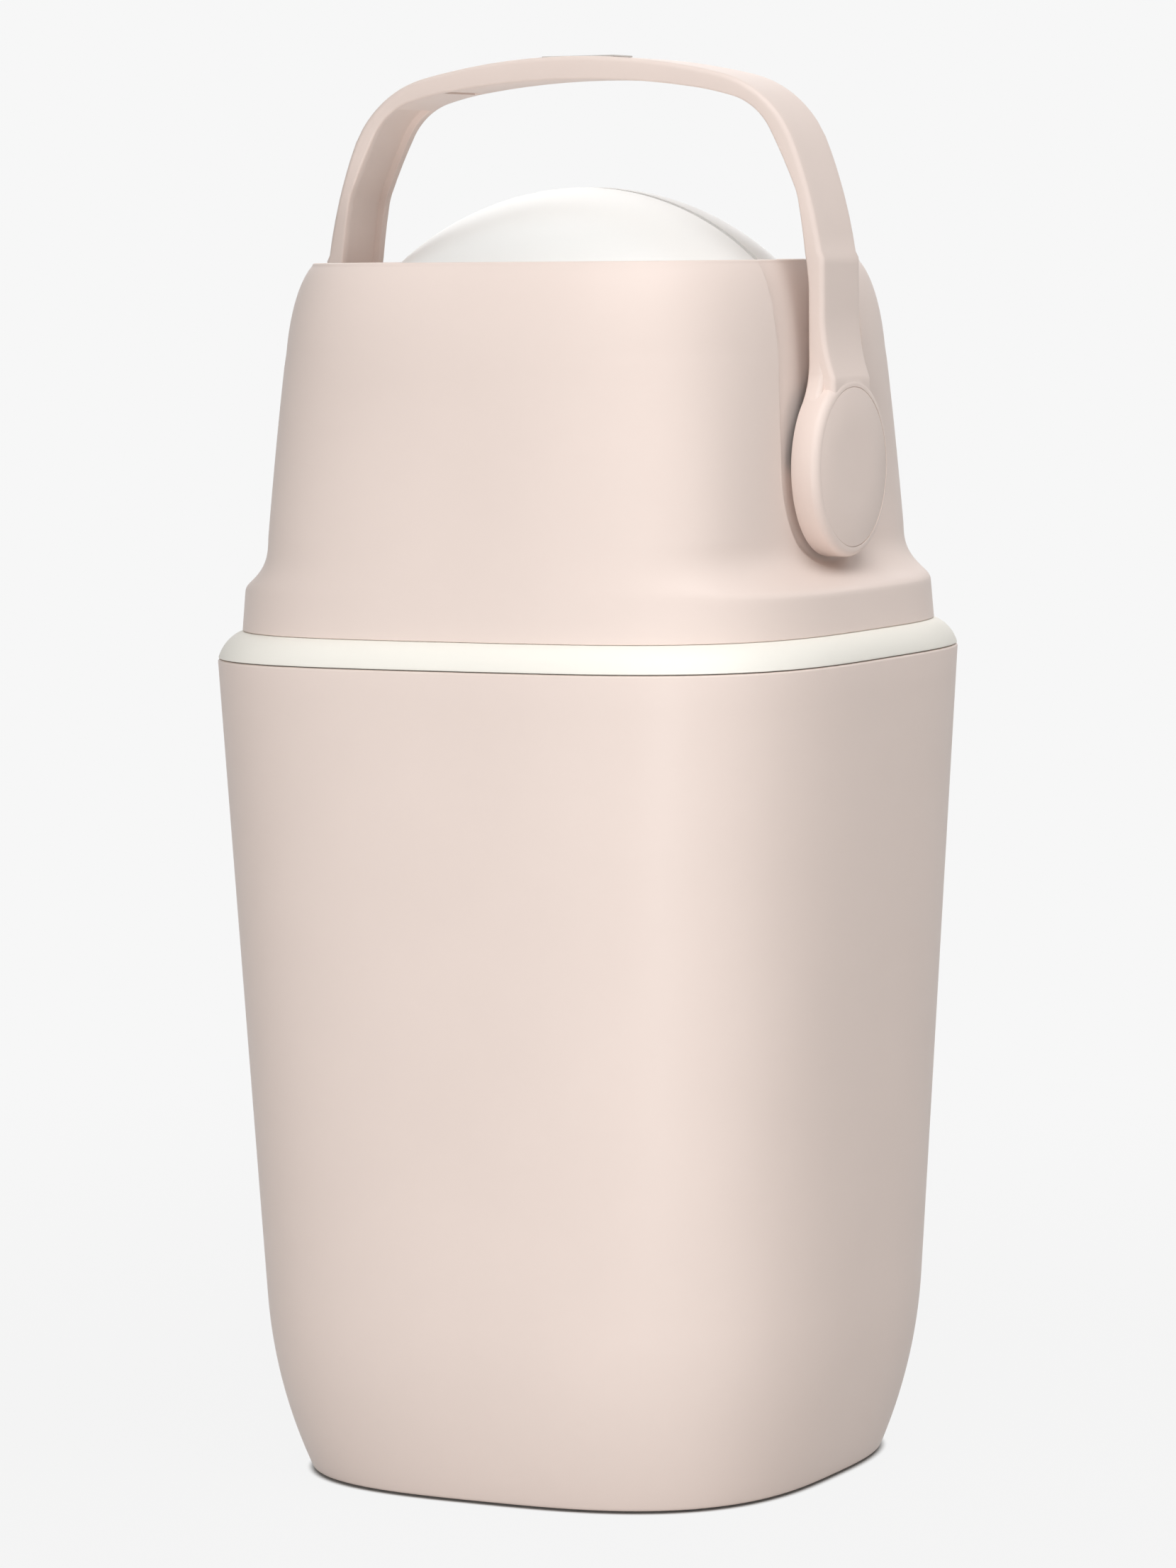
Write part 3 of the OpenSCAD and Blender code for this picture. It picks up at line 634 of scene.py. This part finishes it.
def eased(t, e):
    """A ramp whose start is rounded over a distance e to each side."""
    return 0.0 if t < -e else (t + e) ** 2 / (4 * e) if t < e else t


def ledge(z):
    """The way from the flange, 0, to the walls above the ledge, 1."""
    return 1 - (1 - min(1.0, eased((z - ledge_low) / ledge_h, ledge_soft))) ** ledge_power


def head_side(z):
    flange = flange_half - head_taper * (z - collar_z)
    wall = side_half - side_taper * (z - ledge_top)
    return mix(flange, wall, ledge(z)) - shoulder_x * shoulder(z)


def head_front(z):
    return flange_half - head_taper * (z - collar_z) - shoulder_y * shoulder(z)


def head_n(z):
    """Powers of the head's plan: across its front, which runs on from the flange, and its sides."""
    fade = (side_n - shoulder_n) * clamp01((z - corner_top) / (corner_end - corner_top))
    return mix(flange_n, front_n, ledge(z)), mix(flange_n, side_n, ledge(z)) - float(fade)


def pocket(y, z):
    """How far the arm's channel is sunk into the side wall at a point."""
    reach = np.where(z > axis_z, np.abs(y), np.hypot(y, z - axis_z))
    edge = smooth((pocket_half + pocket_soft / 2 - reach) / pocket_soft)
    fade = mix(pocket_shallow, 1.0, smooth((z - pocket_low_z) / pocket_rise))
    return pocket_depth * edge * fade


def head_columns():
    """Plan directions for the head, close together along the sides where the channels are."""
    side = [math.atan2(y, side_half) for y in np.arange(-58, 58.01, 1.0)]
    corner = list(np.linspace(side[-1], math.pi - side[-1], 150)[1:-1])
    one = side + corner
    angle = np.array(one + [a + math.pi for a in one])
    return np.cos(angle), np.sin(angle)


def level_row(x, y, z):
    return np.column_stack([x, y, np.full(len(x), z)])


def head_outside(c, s):
    low = collar_z + seam_gap
    outer_z = np.concatenate([[low, low + 0.4],
                              np.arange(collar_z + 2, flange_top - 1, 2.0),
                              np.arange(flange_top - 1, ledge_top + 12, 0.7),
                              np.arange(ledge_top + 12, head_z - 20, 1.3),
                              np.arange(head_z - 20, head_z - brim_r, 0.9), [head_z - brim_r]])
    rows = []
    for k, z in enumerate(outer_z):
        inset = 0.0 if k else low_edge
        x, y = superellipse(head_side(z) - inset, head_front(z) - inset, head_n(z), c, s)
        in_side = np.abs(x) > side_share * side_half
        x = x - np.sign(x) * pocket(y, np.full_like(y, z)) * in_side
        rows.append(level_row(x, y, z))
    return rows


def head_top(plan, c, s):
    """The rounded brim, the lip and the sunk deck round the drum's opening."""
    rows = []
    reach = np.hypot(plan[:, 0], plan[:, 1])
    for inset, drop in ((0.12, 0.75), (0.4, 0.35), (0.8, 0.08), (brim_r, 0.0), (4.0, 0.0),
                        (4.6, 0.1), (5.4, 0.5)):
        lip = plan * ((reach - inset) / reach)[:, None]
        rows.append(level_row(*lip.T, head_z - drop))
    ring = np.column_stack([mouth_r * c, mouth_r * s])
    for t in (0.2, 0.4, 0.6, 0.8, 0.97):
        z = mix(head_z - 0.5, head_z - deck_drop, smooth(t))
        rows.append(level_row(*mix(lip, ring, t).T, z))
    deck_z = head_z - deck_drop - deck_step
    for r, rise in ((mouth_r, 0.0), (mouth_r - 0.001, -0.6), (mouth_r, -deck_t)):
        rows.append(level_row(r * c, r * s, deck_z + rise))
    rows.append(level_row(deck_in_r * c, deck_in_r * s, deck_z - deck_t))
    return rows


def head_inside(c, s):
    rows = []
    for z in (*np.linspace(head_z - 12, ledge_top - 1, 14),
              *np.linspace(ledge_top - 3, flange_top - 10, 8)):
        above = z + head_wall
        a = min(head_side(z), head_side(above)) - mix(head_wall, side_wall, ledge(above))
        rows.append(level_row(*superellipse(a, head_front(z) - head_wall, head_n(above), c, s), z))
    z = collar_z + head_gap
    plan = superellipse(head_side(z) - head_wall, head_front(z) - head_wall, head_n(z), c, s)
    rows.append(level_row(*plan, z))
    return rows


def build_head():
    c, s = head_columns()
    rows = head_outside(c, s)
    rows += head_top(rows[-1][:, :2], c, s)
    rows += head_inside(c, s)
    faces = grid_faces(len(rows), len(c), True)
    head = outward(make_object("head_cover", np.concatenate(rows), faces, blush))
    r = bush_r + bush_fit
    for side in (-1, 1):
        x0, x1 = sorted(side * x for x in bush_hole)
        profile = [(NEAR_AXIS, x0), (r, x0), (r, x1), (NEAR_AXIS, x1)]
        hole = revolved("hole", profile, blush, "x", (0, 0, axis_z), 96)
        joined(head, hole, "DIFFERENCE")
    finish_mesh(head)
    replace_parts(head, "head_shell")
    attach(head, "head")


# ---- Drum ----

def drum_half(name, side, roll):
    """One half of the ball with the tube's round mouth; its split edge rounds in by roll."""
    count = 288
    mouth = math.degrees(math.asin(bore_r / drum_r))
    profile = [(drum_r * math.sin(a), drum_r * math.cos(a))
               for a in np.radians(np.linspace(mouth, 80, 40))]
    flat = split_gap / 2
    for h in (*np.arange(20, 8, -1.0), *np.arange(8, 0.5, -0.4), 0.45, 0.3, 0.15, 0.0):
        cut = roll * (1 - math.sqrt(max(0.0, 1 - max(0.0, 1 - h / roll_h) ** 2)))
        profile.append((math.sqrt(drum_r ** 2 - (h + flat) ** 2) - cut, h + flat))
    inner = drum_r - drum_wall
    profile.append((inner, flat))
    stop = math.degrees(math.asin((bore_r + 0.4) / inner))
    profile += [(inner * math.sin(a), inner * math.cos(a))
                for a in np.radians(np.linspace(88, stop, 30))]
    profile.append((bore_r, profile[-1][1]))
    points = []
    for r, h in profile:
        deep = 0.0 if math.hypot(r, h) > inner + 0.2 else drum_wall
        for t in np.linspace(0, 2 * math.pi, count, endpoint=False):
            x = np.clip(r * math.sin(t), -(drum_flat - deep), drum_flat - deep)
            points.append((x, side * h, axis_z + r * math.cos(t)))
    faces = grid_faces(len(profile), count, True)
    obj = outward(make_object(name, points, faces, dome_white))
    finish_mesh(obj, 40)
    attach(obj, "drum")
    return obj


def build_drum():
    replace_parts(drum_half("drum_dome_front", -1, front_roll), "drum_shell_front")
    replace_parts(drum_half("drum_dome_rear", 1, rear_roll), "drum_shell_rear")


# ---- Handle ----

def arc_run(x, z, arcs, step=arm_step):
    """Points (x, z, heading) along tangent arcs that start level and turn downwards."""
    run = []
    h = 0.0
    for r, end in arcs:
        def at(a):
            start, turned = math.radians(h), math.radians(a)
            return (x + r * (math.sin(turned) - math.sin(start)),
                    z - r * (math.cos(start) - math.cos(turned)))

        count = max(2, math.ceil((end - h) / step))
        headings = [mix(h, end, i / count) for i in range(count)]
        run += [(*at(a), a) for a in headings]
        x, z = at(end)
        h = end
    run.append((x, z, h))
    return run


over = arc_run(0, crown_z, crown_arcs)
under = arc_run(0, under_z, under_arcs)
arm_x = over[-1][0]


def outside_from(x, z, dx, dz):
    """Distance from a point of the underside to the outer outline along a direction."""
    line = [(p[0], p[1]) for p in over] + [(arm_x, axis_z - 60)]
    found = []
    for (ax, az), (bx, bz) in zip(line, line[1:]):
        ex, ez = bx - ax, bz - az
        det = dx * -ez - dz * -ex
        if abs(det) < 1e-9:
            continue
        t = ((ax - x) * -ez - (az - z) * -ex) / det
        u = (dx * (az - z) - dz * (ax - x)) / det
        if t > 0 and -0.02 <= u <= 1.02:
            found.append(t)
    return min(found)


def flare(z):
    """Half width of an arm at height z, where it spreads into the round hub."""
    fillet_y = arm_half + fillet_r
    fillet_z = axis_z + math.sqrt((hub_r + fillet_r) ** 2 - fillet_y ** 2)
    join_z = mix(axis_z, fillet_z, hub_r / (hub_r + fillet_r))
    if z >= fillet_z:
        return arm_half
    if z >= join_z:
        return fillet_y - math.sqrt(max(0.0, fillet_r ** 2 - (fillet_z - z) ** 2))
    return math.sqrt(max(0.0, hub_r ** 2 - (z - axis_z) ** 2)) - in_hub


def arch_stations():
    """Half of the arch as (x, z, heading, thickness, half width), from the crown to the hub."""
    stations = []
    for x, z, h in under:
        t = outside_from(x, z, math.sin(math.radians(h)), math.cos(math.radians(h)))
        stations.append((x, z, h, t, arm_half))
    for k in range(1, neck_steps + 1):
        share = k / neck_steps
        neck_x = mix(x, hub_in_x, 1 - (1 - share) ** neck_power)
        heading = mix(h, 90, float(smooth(share)))
        stations.append((neck_x, mix(z, neck_z, share), heading, arm_x - neck_x, arm_half))
    arm = np.arange(neck_z - 4, axis_z + 30, -arm_step)
    for low_z in (*arm, axis_z + 24, axis_z + 12, axis_z):
        stations.append((hub_in_x, low_z, 90, arm_x - hub_in_x, flare(low_z)))
    return stations


def arm_section(t, w, groove):
    """Closed outline of the bar in (outwards, across): round outer edges and a channel inside."""
    edge, lip = min(arm_edge_r, t * 0.45), arm_lip_r
    outer = np.linspace(0, math.pi / 2, 7)
    inner = np.linspace(0, math.pi / 2, 5)
    g = groove_half
    depth = max(groove, 0.0)
    rim = min(groove_rim_r, depth / 2)
    low = min(groove_floor_r, depth / 2)
    pts = [(t - edge + edge * math.sin(a), w - edge + edge * math.cos(a)) for a in outer]
    pts += [(t, w * k) for k in (0.6, 0.2, -0.2, -0.6)]
    pts += [(t - edge + edge * math.cos(a), -w + edge - edge * math.sin(a)) for a in outer]
    pts += [(lip - lip * math.sin(a), -w + lip - lip * math.cos(a)) for a in inner]
    channel = [(0, g + rim), (rim * 0.3, g + rim * 0.3), (rim, g), (depth - low, g),
               (depth - low * 0.3, g - rim * 0.3), (depth, g - groove_floor_r)]
    pts += [(d, -y) for d, y in channel] + channel[::-1]
    pts += [(lip - lip * math.cos(a), w - lip + lip * math.sin(a)) for a in inner]
    return pts


def groove_at(station):
    """The channel's depth at a station: it runs over the liner and down each arm."""
    x, z, heading = station[:3]
    under_liner = x <= liner_high[0]
    down_arm = heading >= groove_start and z > groove_foot
    return groove_depth if under_liner or down_arm else 0.0


def sweep(name, stations, material):
    """A bar through (x, z, heading, outline) stations."""
    points = []
    for x, z, h, outline in stations:
        dx, dz = math.sin(math.radians(h)), math.cos(math.radians(h))
        points.extend((x + u * dx, v, z + u * dz) for u, v in outline)
    count = len(stations[0][3])
    faces = grid_faces(len(stations), count, False) + end_faces(len(stations), count)
    obj = outward(make_object(name, points, faces, material))
    finish_mesh(obj)
    return obj


def neck_flare(side):
    """The bar that carries an arm's outer face out to the face of its hub."""
    reach, drop = hub_x - flare_in - arm_x, flare_from - flare_foot
    rows = [(arm_x, flare_from + arm_step)]
    rows += [(arm_x + reach * rise ** flare_power, flare_from - drop * rise)
             for rise in np.linspace(0, 1, 25)]
    rows += [(hub_x - flare_in, z) for z in np.linspace(flare_foot, flare_low, 5)[1:]]
    edge, w = arm_edge_r, arm_half - flare_fit
    bend = np.linspace(0, math.pi / 2, 9)
    points = []
    for x, z in rows:
        x -= flare_fit
        outline = [(x - edge + edge * math.sin(a), w - edge + edge * math.cos(a)) for a in bend]
        outline += [(x, k * w) for k in (0.6, 0.3, 0, -0.3, -0.6)]
        outline += [(x - edge + edge * math.cos(a), -w + edge - edge * math.sin(a)) for a in bend]
        outline += [(arm_x - 4, -w), (arm_x - 4, w)]
        points.extend((side * px, py, z) for px, py in outline)
    count = len(outline)
    faces = grid_faces(len(rows), count, False) + end_faces(len(rows), count)
    return outward(make_object("neck_flare", points, faces, blush))


def with_steps(half_run, depths):
    """Repeats a station where the channel starts or ends, so that its end wall is square."""
    out = []
    for k, station in enumerate(half_run):
        if k and abs(depths[k] - depths[k - 1]) > 0.1:
            out.append((station, depths[k - 1]))
            x, z = half_run[min(k + 1, len(half_run) - 1)][:2]
            x, z = mix(station[0], x, groove_end), mix(station[1], z, groove_end)
            station = (x, z, *station[2:])
        out.append((station, depths[k]))
    return out


def mirrored_run(half_run):
    left = [(-x, z, -h, outline) for x, z, h, outline in reversed(half_run) if x > 1e-6]
    return left + half_run


def hub_disc(side):
    """One round hub with the flare of its arm and the seat of its cap."""
    centre, r = hub_r - hub_edge_r, cap_r + cap_gap
    profile = [(NEAR_AXIS, hub_in_x), (hub_r - 1.0, hub_in_x), (hub_r - 0.3, hub_in_x + 0.3),
               (hub_r, hub_in_x + 1.0)]
    profile += arc_points(centre, hub_x - hub_edge_r, hub_edge_r, 0, 88, 12)
    profile += [(r, hub_x), (r, hub_x - cap_t), (NEAR_AXIS, hub_x - cap_t)]
    profile = [(d, side * h) for d, h in profile]
    hub = revolved("hub", profile, blush, "x", (0, 0, axis_z), 192)
    return outward(joined(hub, neck_flare(side)))


def build_arch():
    half = arch_stations()
    grooved = with_steps(half, [groove_at(station) for station in half])
    run = [(x, z, h, arm_section(t, w, depth)) for (x, z, h, t, w), depth in grooved]
    arch = sweep("handle_arch_body", mirrored_run(run), blush)
    for side in (-1, 1):
        joined(arch, hub_disc(side))
    outward(arch)
    finish_mesh(arch, 32)
    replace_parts(arch, "handle_arch")
    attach(arch, "drum")


def build_liner():
    w, e, deep = groove_half - liner_fit, liner_edge, groove_depth - liner_fit
    outline = [(0, -w + e), (0.12, -w + 0.12), (e, -w), (deep, -w), (deep, w), (e, w),
               (0.12, w - 0.12), (0, w - e), (0, 5), (0, -5)]
    run = [(*station[:3], outline) for station in arch_stations()
           if station[0] <= liner_high[0] + 0.01]
    liner = sweep("grip_liner_strip", mirrored_run(run), blush)
    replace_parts(liner, "grip_liner")
    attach(liner, "drum")


def build_caps():
    face, back = cap_high[0], cap_low[0]
    profile = [(NEAR_AXIS, back), (cap_r, back), (cap_r, face - cap_edge),
               (cap_r - 0.15, face - 0.15), (cap_r - cap_edge, face), (cap_r * 0.5, face),
               (NEAR_AXIS, face)]
    for side, name in ((-1, "left"), (1, "right")):
        turned = [(r, side * h) for r, h in profile]
        cap = revolved(f"hub_cap_{name}", turned, blush, "x", (0, 0, axis_z), 192)
        finish_mesh(cap)
        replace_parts(cap, f"{name}_hub_cap")
        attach(cap, "drum")


def build_inlay():
    plate = rounded_block("crown_inlay", inlay_low, inlay_high, inlay_edge, grey, 3)
    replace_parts(plate, "handle_inlay")
    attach(plate, "drum")


# ---- CAD nodes that stay ----

def dress(node, material):
    obj = NODES[node]
    obj.data.materials.clear()
    obj.data.materials.append(material)


def dress_frame():
    """Materials of the CAD nodes that are shown as they are."""
    dressed = {
        white: ("housing_upper", "housing_lower", "piston_tube"),
        cream: ("piston_front", "piston_rear"),
        grey: ("left_bush", "right_bush"),
        rubber: ("ring_gasket", "upper_seal", "lower_seal", "piston_seals"),
        steel: ("hinge_pin", "housing_screws", "drum_screws", "left_shaft", "right_shaft",
                "shaft_screws", "piston_weight", "piston_bolt", "hub_screws"),
    }
    for material, names in dressed.items():
        for name in names:
            dress(name, material)


# ---- Studio, in metres ----

backdrop_rgb = (247, 247, 247)
floor_rgb = (188, 187, 185)
floor_half = 6.0
floor_rough = 0.9
floor_glow = 0.955
shadow_rim = 0.004
glow_from, glow_to = 0.2, 1.2
world_colour = (1.0, 0.985, 0.96)
world_strength = 0.3
lamp_aim = Vector((0, 0, 0.33))
# Each lamp: name, azimuth from the front towards the right, elevation, distance and side in
# metres, power in watts.
lamps = [
    ("over_right", 50, 57, 2.6, 1.9, 22.0),
    ("front_high", 14, 58, 2.6, 1.6, 5.0),
    ("overhead", 27, 82, 2.6, 1.6, 4.0),
    ("right_high", 82, 66, 2.6, 1.6, 14.0),
    ("low_front", 27, -8, 1.3, 0.3, 4.3),
    ("low_left", -10, -5, 1.3, 0.5, 2.3),
    ("back", 207, 25, 2.6, 1.6, 5.0),
]


def add_lamp(name, azimuth, elevation, distance, side, power):
    light = bpy.data.lights.new(name, "AREA")
    light.size = side
    light.energy = power
    az, el = math.radians(azimuth), math.radians(elevation)
    towards = Vector((math.sin(az) * math.cos(el), -math.cos(az) * math.cos(el), math.sin(el)))
    obj = bpy.data.objects.new(name, light)
    obj.location = lamp_aim + towards * distance
    obj.rotation_euler = (-towards).to_track_quat("-Z", "Y").to_euler()
    bpy.context.scene.collection.objects.link(obj)


def math_node(nodes, links, operation, first, second):
    node = nodes.new("ShaderNodeMath")
    node.operation = operation
    for socket, value in zip(node.inputs, (first, second)):
        if isinstance(value, float):
            socket.default_value = value
        else:
            links.new(value, socket)
    return node.outputs["Value"]


def seen_rays(nodes, links):
    """1 for the rays that show the backdrop: to the camera, in reflections and through glass."""
    paths = nodes.new("ShaderNodeLightPath").outputs
    mirrored = math_node(nodes, links, "MAXIMUM", paths["Is Glossy Ray"],
                         paths["Is Transmission Ray"])
    return math_node(nodes, links, "MAXIMUM", paths["Is Camera Ray"], mirrored)


def build_world():
    world = bpy.data.worlds.new("studio")
    bpy.context.scene.world = world
    world.use_nodes = True
    nodes, links = world.node_tree.nodes, world.node_tree.links
    nodes.clear()
    out = nodes.new("ShaderNodeOutputWorld")
    seen = nodes.new("ShaderNodeBackground")
    seen.inputs["Color"].default_value = (*linear(backdrop_rgb), 1)
    lit = nodes.new("ShaderNodeBackground")
    lit.inputs["Color"].default_value = (*world_colour, 1)
    lit.inputs["Strength"].default_value = world_strength
    pick = nodes.new("ShaderNodeMixShader")
    links.new(seen_rays(nodes, links), pick.inputs["Fac"])
    links.new(lit.outputs["Background"], pick.inputs[1])
    links.new(seen.outputs["Background"], pick.inputs[2])
    links.new(pick.outputs["Shader"], out.inputs["Surface"])


def glow_share(nodes, links):
    """How much of the floor's look is the backdrop's white: 0 under the bin and 1 far from it."""
    place = nodes.new("ShaderNodeSeparateXYZ")
    links.new(nodes.new("ShaderNodeNewGeometry").outputs["Position"], place.inputs["Vector"])
    parts = []
    for axis in ("X", "Y"):
        size = math_node(nodes, links, "ABSOLUTE", place.outputs[axis], 0.0)
        parts.append(math_node(nodes, links, "POWER", size, base_n))
    total = math_node(nodes, links, "ADD", *parts)
    distance = math_node(nodes, links, "POWER", total, 1 / base_n)
    base_half = (body_half(pad_h) - base_edge_r) * MM
    shares = []
    for limits in ((base_half, base_half + shadow_rim, 0.0, 1.0),
                   (glow_from, glow_to, floor_glow, 1.0)):
        step = nodes.new("ShaderNodeMapRange")
        step.interpolation_type = "SMOOTHSTEP"
        for name, value in zip(("From Min", "From Max", "To Min", "To Max"), limits):
            step.inputs[name].default_value = value
        links.new(distance, step.inputs["Value"])
        shares.append(step.outputs["Result"])
    return math_node(nodes, links, "MULTIPLY", *shares)


def build_floor():
    """A pale floor that glows up to the backdrop's white, except in the bin's contact shadow."""
    mesh = bpy.data.meshes.new("studio_floor")
    corners = ((-1, -1), (1, -1), (1, 1), (-1, 1))
    mesh.from_pydata([(x * floor_half, y * floor_half, 0) for x, y in corners], [], [(0, 1, 2, 3)])
    floor = bpy.data.objects.new("studio_floor", mesh)
    bpy.context.scene.collection.objects.link(floor)
    material, nodes, links, shader = new_material("studio_floor")
    shader.inputs["Base Color"].default_value = (*linear(floor_rgb), 1)
    shader.inputs["Roughness"].default_value = floor_rough
    glow = nodes.new("ShaderNodeEmission")
    glow.inputs["Color"].default_value = (*linear(backdrop_rgb), 1)
    share = math_node(nodes, links, "MULTIPLY", seen_rays(nodes, links), glow_share(nodes, links))
    blend = nodes.new("ShaderNodeMixShader")
    links.new(share, blend.inputs["Fac"])
    links.new(shader.outputs["BSDF"], blend.inputs[1])
    links.new(glow.outputs["Emission"], blend.inputs[2])
    out = next(n for n in nodes if n.type == "OUTPUT_MATERIAL")
    links.new(blend.outputs["Shader"], out.inputs["Surface"])
    mesh.materials.append(material)


def build_studio():
    build_world()
    build_floor()
    for lamp in lamps:
        add_lamp(*lamp)


add_camera()
build_bucket()
build_feet()
build_collar()
build_hinge()
build_head()
build_drum()
build_arch()
build_liner()
build_caps()
build_inlay()
dress_frame()
build_studio()
bpy.context.scene.view_settings.view_transform = "Standard"
